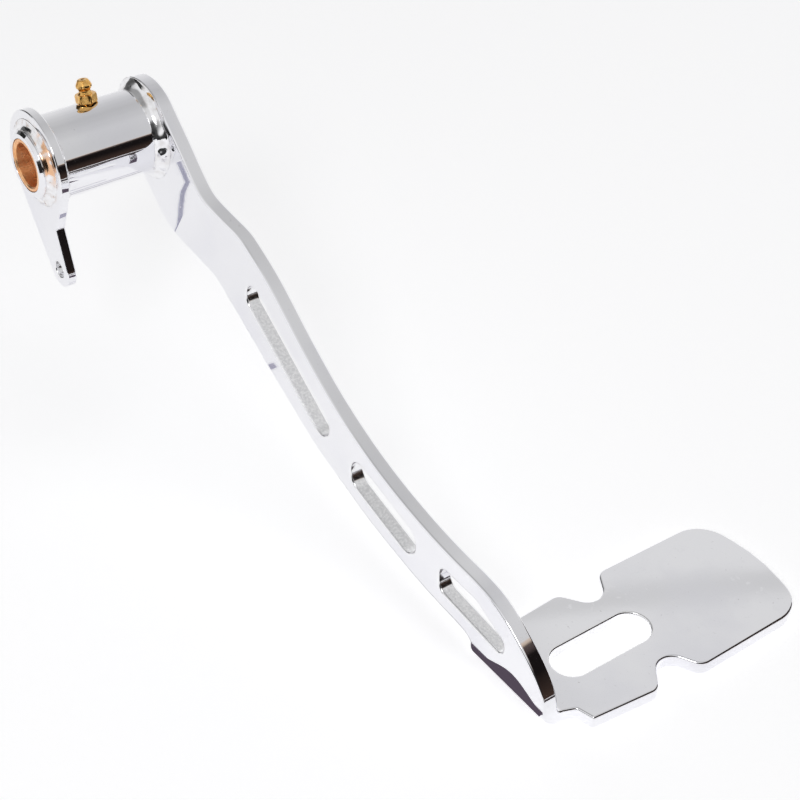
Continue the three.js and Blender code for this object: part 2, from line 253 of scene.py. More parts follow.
def plate_blank(loops, thickness, bevel=PLATE_BEVEL):
    """A flat plate with rolled edges in (u, thickness, v); returns vertices, normals, faces and,
    for each face, the loop that it borders, or -1 for the two flats."""
    vertices, normals, faces, owner = [], [], [], []
    first_ring, last_ring, start = [], [], 0
    for which, line in enumerate(loops):
        normal, mitre, shaded = outward(line)
        count = len(line)
        angles = [math.pi / 2 * k / BEVEL_STEPS for k in range(BEVEL_STEPS + 1)]
        rings = [(a, 1) for a in angles] + [(a, -1) for a in reversed(angles)]
        for a, side in rings:
            inset = bevel * (1 - math.sin(a))
            ring = line - normal * (mitre * inset)[:, None]
            height = side * (thickness / 2 - bevel + bevel * math.cos(a))
            for (u, v), (nu, nv) in zip(ring, shaded):
                vertices.append((u, height, v))
                normals.append((nu * math.sin(a), side * math.cos(a), nv * math.sin(a)))
        for k in range(len(rings) - 1):
            for i in range(count):
                j = (i + 1) % count
                a, b = start + k * count, start + (k + 1) * count
                faces.append((a + i, a + j, b + j, b + i))
                owner.append(which)
        first_ring.append(range(start, start + count))
        last_ring.append(range(start + (len(rings) - 1) * count, start + len(rings) * count))
        start += len(rings) * count
    for rings in (first_ring, last_ring):
        indices = [i for ring in rings for i in ring]
        outline = [[Vector((vertices[i][0], vertices[i][2], 0)) for i in ring] for ring in rings]
        for triangle in tessellate_polygon(outline):
            faces.append(tuple(indices[i] for i in triangle))
            owner.append(-1)
    return vertices, normals, faces, owner


def aligned(vertices, normals, faces):
    """The faces, each turned so that it looks the way that its vertices' normals do."""
    v, n = np.asarray(vertices), np.asarray(normals)
    turned = []
    for f in faces:
        across = np.cross(v[f[1]] - v[f[0]], v[f[2]] - v[f[0]])
        if len(f) > 3:
            across = np.cross(v[f[2]] - v[f[0]], v[f[3]] - v[f[1]])
        turned.append(tuple(f) if across @ n[list(f)].sum(0) > 0 else tuple(reversed(f)))
    return turned


def sliced(vertices, normals, faces, owner, planes):
    """The same mesh cut by planes (point, normal), so that it can be bent along them."""
    bm = bmesh.new()
    kept = bm.verts.layers.float_vector.new("kept_normal")
    tag = bm.faces.layers.int.new("owner")
    made = []
    for p, n in zip(vertices, normals):
        v = bm.verts.new(p)
        v[kept] = Vector(n)
        made.append(v)
    for f, which in zip(faces, owner):
        try:
            bm.faces.new([made[i] for i in f])[tag] = which
        except ValueError:
            continue
    for point, normal in planes:
        everything = [*bm.verts, *bm.edges, *bm.faces]
        bmesh.ops.bisect_plane(bm, geom=everything, dist=1e-5, plane_co=point, plane_no=normal)
    bm.verts.index_update()
    out = (
        np.array([v.co for v in bm.verts], float),
        np.array([v[kept].normalized() for v in bm.verts], float),
        [tuple(v.index for v in f.verts) for f in bm.faces],
        [f[tag] for f in bm.faces],
    )
    bm.free()
    return out


def bent(points, normals, fold):
    """Moves points by fold and turns their normals to suit."""
    step = 1e-3
    moved = fold(points)
    columns = []
    for axis in range(3):
        shift = np.zeros(3)
        shift[axis] = step
        columns.append((fold(points + shift) - fold(points - shift)) / (2 * step))
    jacobian = np.stack(columns, 2)
    turned = np.einsum("nji,nj->ni", np.linalg.inv(jacobian), normals)
    return moved, turned / np.linalg.norm(turned, axis=1)[:, None]


def turned_mesh(name, corners, materials, facets=160, step=0.3, origin=0.0, flip=False):
    """A ring about the Y axis from a closed profile of (radius, y, corner radius)."""
    line = closed_line(rounded(corners, step), 1)
    ahead = np.roll(line, -1, 0) - line
    lengths = np.linalg.norm(ahead, axis=1)
    direction = ahead / lengths[:, None]
    vertices, normals, faces = [], [], []
    for k in range(facets):
        c, s = math.cos(2 * math.pi * k / facets), math.sin(2 * math.pi * k / facets)
        for i, (r, y) in enumerate(line):
            # a long straight side sets the normal at its own ends
            w_before, w_after = lengths[i - 1] ** 2, lengths[i] ** 2
            d = direction[i - 1] * w_before + direction[i] * w_after
            d = d / np.linalg.norm(d)
            height = origin + (-y if flip else y)
            ny = -d[0] * (-1 if flip else 1)
            vertices.append((r * c, height, r * s))
            normals.append((d[1] * c, ny, d[1] * s))
    n = len(line)
    for k in range(facets):
        a, b = k * n, ((k + 1) % facets) * n
        for i in range(n):
            j = (i + 1) % n
            faces.append((a + i, a + j, b + j, b + i))
    faces = aligned(vertices, normals, faces)
    return new_object(name, vertices, faces, normals, materials)


# ------------------------------------------------------------------ materials
class Finish:
    """A node material, with short ways to add nodes to it."""

    def __init__(self, name, metallic=1.0, specular=0.5):
        self.material = bpy.data.materials.new(name)
        self.material.use_nodes = True
        self.tree = self.material.node_tree
        self.shader = self.tree.nodes["Principled BSDF"]
        self.shader.inputs["Metallic"].default_value = metallic
        self.shader.inputs["Specular IOR Level"].default_value = specular
        self.place = self.add("TexCoord").outputs["Object"]

    def add(self, kind, values=None, **settings):
        node = self.tree.nodes.new("ShaderNode" + kind)
        for key, value in settings.items():
            setattr(node, key, value)
        for key, value in (values or {}).items():
            self.feed(node.inputs[key], value)
        return node

    def feed(self, socket, value):
        if isinstance(value, bpy.types.NodeSocket):
            self.tree.links.new(value, socket)
        else:
            socket.default_value = value

    def math(self, operation, *values):
        node = self.add("Math", dict(enumerate(values)), operation=operation)
        return node.outputs[0]

    def noise(self, scale, detail=2.0, rough=0.5, stretch=None, twist=0.0):
        place = self.place
        if stretch:
            place = self.add("Mapping", {"Vector": place, "Scale": stretch}).outputs[0]
        values = {"Vector": place, "Scale": scale, "Detail": detail, "Roughness": rough,
                  "Distortion": twist}
        return self.add("TexNoise", values).outputs["Fac"]

    def span(self, value, low, high, start=0.0, end=1.0, smooth=True):
        """value between low and high becomes start to end."""
        values = {0: value, 1: low, 2: high, 3: start, 4: end}
        kind = "SMOOTHSTEP" if smooth else "LINEAR"
        return self.add("MapRange", values, interpolation_type=kind).outputs[0]

    def blend(self, share, first, second):
        node = self.add("Mix", {0: share, 6: first, 7: second}, data_type="RGBA")
        return node.outputs[2]

    def ring_distance(self):
        """Distance from the pivot axis, in metres."""
        parts = self.add("SeparateXYZ", {0: self.place})
        x2 = self.math("MULTIPLY", parts.outputs[0], parts.outputs[0])
        z2 = self.math("MULTIPLY", parts.outputs[2], parts.outputs[2])
        return self.math("SQRT", self.math("ADD", x2, z2))

    def part(self, axis):
        return self.add("SeparateXYZ", {0: self.place}).outputs[axis]

    def paint(self, color, roughness, heights):
        """heights are (height socket, depth in metres) pairs, summed into one bump."""
        self.feed(self.shader.inputs["Base Color"], color)
        self.feed(self.shader.inputs["Roughness"], roughness)
        total = None
        for height, depth in heights:
            scaled = self.math("MULTIPLY", height, depth)
            total = scaled if total is None else self.math("ADD", total, scaled)
        if total is not None:
            bump = self.add("Bump", {"Height": total, "Strength": 1.0, "Distance": 1.0})
            self.feed(self.shader.inputs["Normal"], bump.outputs[0])
        return self.material


def rgb(r, g, b):
    return (r, g, b, 1.0)


CHROME_BRIGHT = rgb(0.865, 0.865, 0.89)
CHROME_CLOUDED = rgb(0.815, 0.815, 0.855)
PIT_DARK = rgb(0.55, 0.53, 0.55)
CUT_DULL, CUT_BRIGHT = rgb(0.84, 0.84, 0.86), rgb(0.95, 0.95, 0.96)
WELD_BRIGHT, WELD_DULL = rgb(0.9, 0.9, 0.92), rgb(0.72, 0.7, 0.7)
WELD_COPPER = rgb(0.84, 0.42, 0.17)
WELD_BROWN = rgb(0.42, 0.26, 0.16)
STAIN_BROWN = rgb(0.52, 0.33, 0.2)
STAIN_COPPER = rgb(0.85, 0.45, 0.2)
BRONZE_LIGHT, BRONZE_DEEP = rgb(1.0, 0.6, 0.32), rgb(0.9, 0.44, 0.19)
BRONZE_PORE = rgb(0.35, 0.17, 0.08)
BRASS_LIGHT, BRASS_DEEP = rgb(0.88, 0.54, 0.18), rgb(0.62, 0.33, 0.09)
STEEL_LIGHT, STEEL_DARK = rgb(0.62, 0.62, 0.63), rgb(0.5, 0.5, 0.51)
PAPER_LOW, PAPER_HIGH = rgb(0.93, 0.93, 0.94), rgb(0.95, 0.95, 0.955)


def early_bend(g):
    """The plate's outer face leans in a little before the bend proper, most of all near its
    pedal end; the height falls away below a line that rises to there."""
    hump_x, hump_width, hump_height = 0.249, 0.014, 0.0066
    line_z, slope = -0.1155, -0.1
    x = g.math("DIVIDE", g.math("SUBTRACT", g.part(0), hump_x), hump_width)
    hump = g.math("EXPONENT", g.math("MULTIPLY", g.math("MULTIPLY", x, x), -1.0))
    line = g.math("ADD", g.math("MULTIPLY", hump, hump_height), line_z)
    below = g.math("MAXIMUM", g.math("SUBTRACT", line, g.part(2)), 0.0)
    outer_face = g.span(g.part(1), 0.0591, 0.0600, 1.0, 0.0)
    return g.math("MULTIPLY", g.math("MULTIPLY", below, outer_face), slope)


def chrome(name, wave=1.0, haze=0.05, stain=None, relief=None):
    """Bright plating: clouded patches, fine pits, polishing lines, and a wave like orange peel."""
    g = Finish(name)
    cloud = g.noise(28, 3, 0.55)
    speck = g.noise(520, 4, 0.6)
    scratch = g.noise(190, 2, 0.6, stretch=(1, 1, 24), twist=0.4)
    rough = g.span(cloud, 0.35, 0.7, haze * 0.6, haze * 1.5)
    rough = g.math("ADD", rough, g.span(speck, 0.62, 0.74, 0.0, 0.10))
    rough = g.math("ADD", rough, g.span(scratch, 0.64, 0.72, 0.0, 0.07))
    color = g.blend(g.span(cloud, 0.4, 0.75), CHROME_BRIGHT, CHROME_CLOUDED)
    color = g.blend(g.span(speck, 0.66, 0.76, 0.0, 0.5), color, PIT_DARK)
    if stain:
        mask, hue, roughness = stain(g)
        color = g.blend(mask, color, hue)
        rough = g.math("ADD", rough, g.math("MULTIPLY", mask, roughness))
    broad = g.noise(30, 1, 0.4)
    fine = g.noise(150, 2, 0.5)
    heights = [(broad, 26e-6 * wave), (fine, 2.2e-6 * wave), (speck, 1.0e-6)]
    if relief:
        heights.append((relief(g), 1.0))
    return g.paint(color, rough, heights)


def cut_chrome(name):
    """Chrome over a torn, unpolished edge, as inside the slots."""
    g = Finish(name)
    grain = g.noise(1000, 5, 0.65)
    streak = g.noise(700, 3, 0.6, stretch=(1, 0.12, 1))
    color = g.blend(g.span(grain, 0.35, 0.65), CUT_DULL, CUT_BRIGHT)
    rough = g.span(grain, 0.3, 0.7, 0.07, 0.2)
    return g.paint(color, rough, [(grain, 16e-6), (streak, 30e-6)])


def weld_chrome(name):
    """Plated weld, with copper and brown traces on the bead at the crank end's spigot."""
    g = Finish(name)
    grain = g.noise(260, 4, 0.6)
    broad = g.noise(90, 2, 0.5)
    color = g.blend(g.span(grain, 0.42, 0.72), WELD_BRIGHT, WELD_DULL)
    rough = g.span(grain, 0.35, 0.75, 0.04, 0.2)
    root = g.math("MULTIPLY", g.span(g.part(1), 0.0014, 0.0022),
                  g.span(g.part(1), 0.0040, 0.0046, 1.0, 0.0))
    upper = g.math("MULTIPLY", g.span(g.part(2), -0.004, 0.003), g.span(g.part(0), 0.004, 0.009))
    patch = g.span(g.noise(160, 2, 0.5), 0.4, 0.52)
    copper = g.math("MULTIPLY", g.math("MULTIPLY", root, upper), patch)
    color = g.blend(g.math("MULTIPLY", copper, 0.8), color, WELD_COPPER)
    end = g.span(g.part(1), 0.0075, 0.0105, 1.0, 0.0)
    brown = g.math("MULTIPLY", end, g.span(g.noise(330, 3, 0.6), 0.55, 0.68))
    color = g.blend(g.math("MULTIPLY", brown, 0.5), color, WELD_BROWN)
    return g.paint(color, rough, [(broad, 90e-6), (grain, 16e-6)])


def bronze(name):
    """Sintered bronze with lathe grooves, both on the bore and on the end face."""
    face_grooves, bore_grooves = 9000.0, 14000.0  # radians per metre
    g = Finish(name, metallic=0.82)
    rings = g.math("MULTIPLY", g.ring_distance(), face_grooves)
    lathe = g.math("SINE", g.math("ADD", rings, g.math("MULTIPLY", g.part(1), bore_grooves)))
    cloud = g.noise(240, 4, 0.6)
    pores = g.noise(1500, 3, 0.6)
    color = g.blend(g.span(cloud, 0.3, 0.7), BRONZE_LIGHT, BRONZE_DEEP)
    color = g.blend(g.span(pores, 0.62, 0.74, 0.0, 0.5), color, BRONZE_PORE)
    rough = g.span(cloud, 0.3, 0.75, 0.24, 0.42)
    return g.paint(color, rough, [(lathe, 26e-6), (pores, 8e-6)])


def brass(name):
    g = Finish(name)
    cloud = g.noise(700, 3, 0.6)
    grain = g.noise(2600, 3, 0.6)
    color = g.blend(g.span(cloud, 0.3, 0.7), BRASS_LIGHT, BRASS_DEEP)
    rough = g.span(grain, 0.3, 0.7, 0.08, 0.24)
    return g.paint(color, rough, [(grain, 6e-6), (cloud, 10e-6)])


def steel(name):
    g = Finish(name)
    grain = g.noise(2400, 3, 0.6)
    color = g.blend(g.span(grain, 0.3, 0.7), STEEL_LIGHT, STEEL_DARK)
    return g.paint(color, g.span(grain, 0.3, 0.7, 0.18, 0.34), [(grain, 4e-6)])


def plating_stain(g):
    """Brown traces left round the crank-end weld."""
    near = g.span(g.ring_distance(), 0.0158, 0.0205, 1.0, 0.0)
    end = g.span(g.part(1), 0.006, 0.0095, 1.0, 0.0)
    patch = g.span(g.noise(190, 3, 0.6), 0.5, 0.68)
    mask = g.math("MULTIPLY", g.math("MULTIPLY", near, patch), end)
    return g.math("MULTIPLY", mask, 0.75), STAIN_BROWN, 0.25


def spigot_stain(g):
    """Copper showing through the plating at the root of the spigot."""
    root = g.span(g.part(1), 0.0008, 0.0034, 0.0, 1.0)
    end = g.span(g.part(1), 0.0055, 0.0075, 1.0, 0.0)
    patch = g.span(g.noise(150, 2, 0.6), 0.44, 0.56)
    mask = g.math("MULTIPLY", g.math("MULTIPLY", root, end), patch)
    return g.math("MULTIPLY", mask, 0.85), STAIN_COPPER, 0.15


CHROME_ARM = chrome("chrome_arm", relief=early_bend)
CHROME_CRANK = chrome("chrome_crank", stain=plating_stain)
CHROME_TUBE = chrome("chrome_tube", wave=0.7, haze=0.035, stain=spigot_stain)
CHROME_CUT = cut_chrome("chrome_cut_edge")
CHROME_WELD = weld_chrome("chrome_weld")
BRONZE = bronze("bush_bronze")
BRASS = brass("nipple_brass")
STEEL = steel("spring_steel")


# ------------------------------------------------------------------ arm and foot plate, one bent plate
BEND_MIDDLE_R = FOOT_BEND_R - PLATE_T / 2
BEND_RUN = BEND_MIDDLE_R * math.pi / 2
JOG_ROUND = 4.0
JOG_CUTS = 13  # cuts across each bend, so that the flat mesh can follow it
BEND_CUTS = 25
LAST_SLOT = 4  # loops 1 to 4 of the arm are slots, and the one after them is the spigot's hole


def foot_edge(side, neck):
    """One side of the foot plate as corners (y, across, radius), with its notch for the pad."""
    y, across, radius = FOOT_CORNER
    notch = [(104.8, 29.7 * side, 5), (117.1, 13.3 * side, 6.9), (126.6, 30.3 * side, 6)]
    return [*neck, *notch, (y, across * side, radius)]


def arm_blank_outline():
    """The whole plate laid flat: the foot plate carries on below the arm, past the bend."""
    front = foot_edge(1, [(BEND_Y, BEND_FRONT, 0), (73, 19.6, 1.8), (75.2, 26.9, 1.2)])
    rear = foot_edge(-1, [(BEND_Y, BEND_REAR, 0), (77, -28, 4)])
    foot = rounded([*front, FOOT_APEX, *reversed(rear)])
    laid = [(FOOT_X + across, BEND_Z - BEND_RUN - (y - BEND_Y)) for y, across in foot]
    boss = arc(BOSS_ARC, BOSS_R)
    return closed_line([*spline(ARM_TOP_EDGE), *laid, *spline(ARM_LOWER_EDGE), *boss], 1)


def arm_slots():
    y0, y1, r = FOOT_SLOT
    key = [(FOOT_X, BEND_Z - BEND_RUN - (y - BEND_Y)) for y in (y0, y1)]
    return [
        stadium(*LONG_SLOT),
        stadium(*MIDDLE_SLOT),
        rounded(PEDAL_END_SLOT),
        stadium(key[0], key[1], r),
        arc((0, 360), SPIGOT_HOLE_R),
    ]


def joggle(distance):
    """How far the arm has stepped outwards at this distance, with the two bends rounded."""
    def ramp(t):
        t = np.clip(t, -JOG_ROUND, JOG_ROUND)
        return (t + JOG_ROUND) ** 2 / (4 * JOG_ROUND)
    slope = JOG / (JOG_END - JOG_START)
    after_start = np.where(distance > JOG_START + JOG_ROUND, distance - JOG_START,
                           ramp(distance - JOG_START))
    after_end = np.where(distance > JOG_END + JOG_ROUND, distance - JOG_END,
                         ramp(distance - JOG_END))
    return slope * (after_start - after_end)


def fold_arm(p):
    """Points of the flat blank moved to where the joggle and the foot's bend put them."""
    x, t, v = p[:, 0], p[:, 1], p[:, 2]
    step = joggle(x * JOG_DIRECTION[0] + v * JOG_DIRECTION[1])
    run = np.clip(BEND_Z - v, 0, None)
    angle = np.minimum(run / BEND_MIDDLE_R, math.pi / 2)
    beyond = np.clip(run - BEND_RUN, 0, None)
    radius = BEND_MIDDLE_R - t
    y_flat = ARM_Y + PLATE_T / 2 + step + t
    y_bent = BEND_Y - radius * np.cos(angle) + beyond
    z_bent = BEND_Z - radius * np.sin(angle)
    below = v < BEND_Z
    return np.stack([x, np.where(below, y_bent, y_flat), np.where(below, z_bent, v)], 1)


def make_arm():
    slots = [closed_line(s, -1) for s in arm_slots()]
    parts = plate_blank([arm_blank_outline(), *slots], PLATE_T)
    jog_normal = Vector((JOG_DIRECTION[0], 0, JOG_DIRECTION[1]))
    planes = []
    for start in (JOG_START, JOG_END):
        for k in np.linspace(-JOG_ROUND, JOG_ROUND, JOG_CUTS):
            planes.append((jog_normal * float(start + k), jog_normal))
    for k in np.linspace(0, BEND_RUN, BEND_CUTS):
        planes.append((Vector((0, 0, BEND_Z - float(k))), Vector((0, 0, 1))))
    vertices, normals, faces, owner = sliced(*parts, planes)
    vertices, normals = bent(vertices, normals, fold_arm)
    faces = aligned(vertices, normals, faces)
    rough_edges = [1 if 1 <= which <= LAST_SLOT else 0 for which in owner]
    return new_object("lever_arm_plate", vertices, faces, normals, [CHROME_ARM, CHROME_CUT],
                      rough_edges)


# ------------------------------------------------------------------ crank plate
def make_crank():
    outline = [
        *arc(CRANK_ARC, CRANK_R),
        *spline(CRANK_BACK),
        *arc(CLEVIS_ARC, CLEVIS_EYE_R, CLEVIS_CENTRE),
        *spline(CRANK_HOLLOW),
    ]
    loops = [
        closed_line(outline, 1),
        closed_line(arc((0, 360), SPIGOT_HOLE_R), -1),
        closed_line(arc((0, 360), CLEVIS_HOLE_R, CLEVIS_CENTRE, 0.12), -1),
    ]
    vertices, normals, faces, owner = plate_blank(loops, CRANK_T, CRANK_BEVEL)
    vertices = np.array(vertices) + np.array([0, CRANK_Y + CRANK_T / 2, 0])
    faces = aligned(vertices, normals, faces)
    clevis_hole = 2
    rough_edges = [1 if which == clevis_hole else 0 for which in owner]
    return new_object("crank_plate_ear", vertices, faces, normals, [CHROME_CRANK, CHROME_CUT],
                      rough_edges)


# ------------------------------------------------------------------ cross tube, bushes, weld beads
def make_tube():
    bore = BUSH_R + BUSH_GAP
    seat = BUSH_LENGTH + GAP
    crank_shoulder, arm_shoulder = CRANK_Y + CRANK_T + GAP, ARM_Y - GAP
    tip_r = SPIGOT_R - SPIGOT_CHAMFER
    step = 1  # taper from the bush's seat into the chamber
    profile = [
        (bore, 0, 0.2), (tip_r, 0, 0.25), (SPIGOT_R, SPIGOT_CHAMFER, 0.3),
        (SPIGOT_R, crank_shoulder, 0), (TUBE_R, crank_shoulder, 0.3),
        (TUBE_R, arm_shoulder, 0.3), (SPIGOT_R, arm_shoulder, 0),
        (SPIGOT_R, HUB_LENGTH - SPIGOT_CHAMFER, 0.3), (tip_r, HUB_LENGTH, 0.25),
        (bore, HUB_LENGTH, 0.2), (bore, HUB_LENGTH - seat, 0),
        (CHAMBER_R, HUB_LENGTH - seat - step, 0), (CHAMBER_R, seat + step, 0), (bore, seat, 0),
    ]
    return turned_mesh("pivot_tube_body", profile, [CHROME_TUBE], facets=200)


def make_bush(name, origin, flip):
    recess, edge, corner = 0.15, 0.3, 0.1
    profile = [
        (BUSH_BORE_R + BUSH_LIP, recess, corner), (BUSH_R - edge, recess, corner),
        (BUSH_R, recess + edge, corner), (BUSH_R, BUSH_LENGTH - BUSH_LIP, corner),
        (BUSH_R - BUSH_LIP, BUSH_LENGTH, corner), (BUSH_BORE_R, BUSH_LENGTH, corner),
        (BUSH_BORE_R, recess + BUSH_LIP, 0.15),
    ]
    return turned_mesh(name, profile, [BRONZE], facets=120, origin=origin, flip=flip)


def make_bead(name, radius, face, leg_r, leg_y, side, seed, lumps, hollow, knobs=()):
    """A hand-laid fillet whose legs swell and shrink round the joint. hollow is 1 for a dished
    face that runs smoothly into both parts, and 0 for a round-backed bead. Knobs are extra lumps,
    each (angle in degrees, share of the leg, half width in degrees)."""
    around, across = 260, 16
    clear = 0.02  # off the two parts
    sunk, tucked = 0.3, 0.2  # the hidden root of the bead
    flatness = 0.16
    vertices, faces = [], []
    for k in range(around):
        a = 2 * math.pi * k / around
        c, s = math.cos(a), math.sin(a)
        slow = noise.noise(Vector((1.6 * c + seed, 1.6 * s, seed)))
        quick = noise.noise(Vector((5.5 * c, 5.5 * s + seed, 2 * seed)))
        swell = 1 + lumps * (1.5 * slow + 0.5 * quick)
        knob = 0.0
        for middle, height, half in knobs:
            off = (math.degrees(a) - middle + 180) % 360 - 180
            knob += height * math.exp(-(off / half) ** 2)
        for j in range(across + 1):
            t = math.pi / 2 * j / across
            bulge = 1 - flatness * math.sin(2 * t)
            out = hollow * (1 - math.sin(t)) + (1 - hollow) * bulge * math.cos(t)
            up = hollow * (1 - math.cos(t)) + (1 - hollow) * bulge * math.sin(t)
            lump = knob * math.sin(2 * t) ** 2
            r = radius + clear + leg_r * (swell * out + lump)
            y = face + side * (clear + leg_y * (swell * up + lump))
            vertices.append((r * c, y, r * s))
        vertices.append(((radius - sunk) * c, face - side * tucked, (radius - sunk) * s))
    ring = across + 2
    for k in range(around):
        a, b = k * ring, ((k + 1) % around) * ring
        for i in range(ring):
            j = (i + 1) % ring
            quad = (a + i, a + j, b + j, b + i)
            faces.append(quad if side > 0 else tuple(reversed(quad)))
    return new_object(name, vertices, faces, None, [CHROME_WELD])


# ------------------------------------------------------------------ grease nipple
NIPPLE_PLACE = (
    Matrix.Translation((0, NIPPLE_Y * MM, 0))
    @ Matrix.Rotation(math.pi / 2, 4, "X")
    @ Matrix.Rotation(NIPPLE_TILT, 4, "Z")
)


def circle_of(bm, radius, y, segments=72):
    """A ring of vertices about the Y axis. radius is a length, or a length for each angle."""
    ring = []
    for k in range(segments):
        a = 2 * math.pi * k / segments
        r = radius(a) if callable(radius) else radius
        ring.append(bm.verts.new((r * math.sin(a) * MM, y * MM, r * math.cos(a) * MM)))
    return ring


def make_fitting():
    """The nipple's turned body: stem, neck, head and the bore with its seat for the ball."""
    foot_r, neck_r, head_r, mouth_r, drain_r = 3.1, 2.35, 3.3, 0.75, 0.85
    profile = [
        (drain_r, STEM_FOOT, 0), (NIPPLE_STEM_R, STEM_FOOT, 0.2),
        (NIPPLE_STEM_R, HEX_FOOT + 1, 0), (foot_r, HEX_FOOT + 1, 0),
        (foot_r, HEX_TOP + 0.1, 0.1), (neck_r + 0.1, HEX_TOP + 0.9, 0.35),
        (neck_r, HEX_TOP + 1.5, 0.5), (head_r, HEX_TOP + 2.9, 0.45),
        (head_r, HEX_TOP + 3.7, 0.5), (2.3, TIP - 0.3, 0.25), (1.9, TIP, 0.15),
        (mouth_r, TIP, 0.12), (mouth_r, SEAT, 0), (NIPPLE_BORE_R, SEAT - 0.75, 0),
        (NIPPLE_BORE_R, STEM_FOOT + 0.7, 0), (drain_r, STEM_FOOT + 0.4, 0),
    ]
    body = turned_mesh("grease_nipple_fitting", profile, [BRASS], facets=72)
    body.data.transform(NIPPLE_PLACE)
    return body


def make_hexagon():
    """The nipple's chamfered hexagon, as a collar round the turned body."""
    flat = NIPPLE_HEX / 2
    inner_r = 3
    corner, foot_corner, top_corner = 0.5, 0.37, 0.22  # how far the corners stand past the flats

    def six_sided(limit):
        def radius(a):
            local = (a + math.pi / 6) % (math.pi / 3) - math.pi / 6
            return min(flat / math.cos(local), flat + limit)
        return radius

    bm = bmesh.new()
    levels = [(HEX_FOOT, foot_corner), (HEX_FOOT + 0.35, corner), (HEX_TOP - 0.45, corner),
              (HEX_TOP, top_corner)]
    rings = [circle_of(bm, six_sided(limit), y) for y, limit in levels]
    segments = len(rings[0])
    for low, high in zip(rings, rings[1:]):
        for i in range(segments):
            j = (i + 1) % segments
            bm.faces.new((low[i], low[j], high[j], high[i]))
    foot, top = (circle_of(bm, inner_r, y) for y in (HEX_FOOT, HEX_TOP))
    for i in range(segments):
        j = (i + 1) % segments
        bm.faces.new((rings[0][j], rings[0][i], foot[i], foot[j]))
        bm.faces.new((rings[-1][i], rings[-1][j], top[j], top[i]))
        bm.faces.new((foot[j], foot[i], top[i], top[j]))
    mesh = bpy.data.meshes.new("grease_nipple_hex")
    bm.to_mesh(mesh)
    bm.free()
    mesh.materials.append(BRASS)
    mesh.shade_smooth()
    mesh.set_sharp_from_angle(angle=math.radians(24))
    hexagon = bpy.data.objects.new("grease_nipple_hex", mesh)
    bpy.context.scene.collection.objects.link(hexagon)
    mesh.transform(NIPPLE_PLACE)
    return hexagon


def make_spring():
    """The coil, with the heights of its two ends along the nipple's axis."""
    low = STEM_FOOT + 0.7 + WIRE_R + 0.1
    high = BALL_CENTRE - BALL_R - WIRE_R - 0.05
    radius = NIPPLE_BORE_R - WIRE_R - 0.08
    turns, per_turn, sides = 6, 28, 10
    steps = turns * per_turn
    vertices, faces = [], []
    for k in range(steps + 1):
        a = 2 * math.pi * turns * k / steps
        y = low + (high - low) * k / steps
        centre = np.array([radius * math.cos(a), y, radius * math.sin(a)])
        radial = np.array([math.cos(a), 0, math.sin(a)])
        for i in range(sides):
            b = 2 * math.pi * i / sides
            offset = WIRE_R * (math.cos(b) * radial + math.sin(b) * np.array([0, 1, 0]))
            vertices.append(centre + offset)
    for k in range(steps):
        for i in range(sides):
            j = (i + 1) % sides
            a, b = k * sides, (k + 1) * sides
            faces.append((a + i, b + i, b + j, a + j))
    faces.append(tuple(range(sides)))
    faces.append(tuple(reversed(range(steps * sides, steps * sides + sides))))
    spring = new_object("grease_check_coil", vertices, faces, None, [STEEL])
    spring.data.transform(NIPPLE_PLACE)
    return spring, low, high


def make_ball():
    bm = bmesh.new()
    bmesh.ops.create_icosphere(bm, subdivisions=4, radius=BALL_R * MM)
    mesh = bpy.data.meshes.new("grease_check_ball_steel")
    bm.to_mesh(mesh)
    bm.free()
    mesh.materials.append(STEEL)
    mesh.shade_smooth()
    ball = bpy.data.objects.new("grease_check_ball_steel", mesh)
    bpy.context.scene.collection.objects.link(ball)
    mesh.transform(NIPPLE_PLACE @ Matrix.Translation((0, BALL_CENTRE * MM, 0)))
    return ball


# ------------------------------------------------------------------ the object
piece(make_arm(), "lever", "lever_arm")
piece(make_crank(), "lever", "crank_plate")
piece(make_tube(), "lever", "pivot_tube")
piece(make_bush("bush_crank_end_ring", 0.0, False), "lever", "bush_crank_end")
piece(make_bush("bush_arm_end_ring", HUB_LENGTH, True), "lever", "bush_arm_end")

CRANK_KNOBS = [(-10, 0.35, 6), (-27, 0.6, 7), (-46, 0.5, 7), (-64, 0.35, 8), (10, 0.25, 6),
               (100, 0.2, 8)]
ARM_KNOBS = [(113, 0.16, 11), (98, 0.06, 8), (14, 0.12, 8), (-8, 0.3, 8), (-30, 0.16, 9)]
BEADS = [
    ("bead_crank_outer", "weld_crank_outer", SPIGOT_R, CRANK_Y, 4.0, 2.5, -1, 3.1, 0.05, 0.9),
    ("bead_crank_inner", "weld_crank_inner", TUBE_R, CRANK_Y + CRANK_T, 1.7, 1.9, 1, 7.7, 0.16, 0.3,
     CRANK_KNOBS),
    ("bead_arm_inner", "weld_arm_inner", TUBE_R, ARM_Y, 4.2, 4.9, -1, 5.2, 0.05, 0.85, ARM_KNOBS),
    ("bead_arm_outer", "weld_arm_outer", SPIGOT_R, ARM_Y + PLATE_T, 3.9, 2.5, 1, 1.3, 0.06, 0.9),
]
for name, node, *shape in BEADS:
    piece(make_bead(name, *shape), "lever", node)

piece(make_fitting(), "lever", "grease_nipple_body")
nipple_hex = make_hexagon()
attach(nipple_hex, "lever")

spring, spring_low, spring_high = make_spring()
piece(spring, "lever", "grease_check_spring")
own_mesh(spring)
piece(make_ball(), "check_ball", "grease_check_ball")


# ------------------------------------------------------------------ studio
def glow(name, build):
    """A stage material that only gives off light; build sets its colour and strength on the emission
    node.
    """
    material = bpy.data.materials.new(name)
    material.use_nodes = True
    tree = material.node_tree
    tree.nodes.clear()
    output = tree.nodes.new("ShaderNodeOutputMaterial")
    emission = tree.nodes.new("ShaderNodeEmission")
    tree.links.new(emission.outputs[0], output.inputs[0])
    build(tree, emission)
    return material


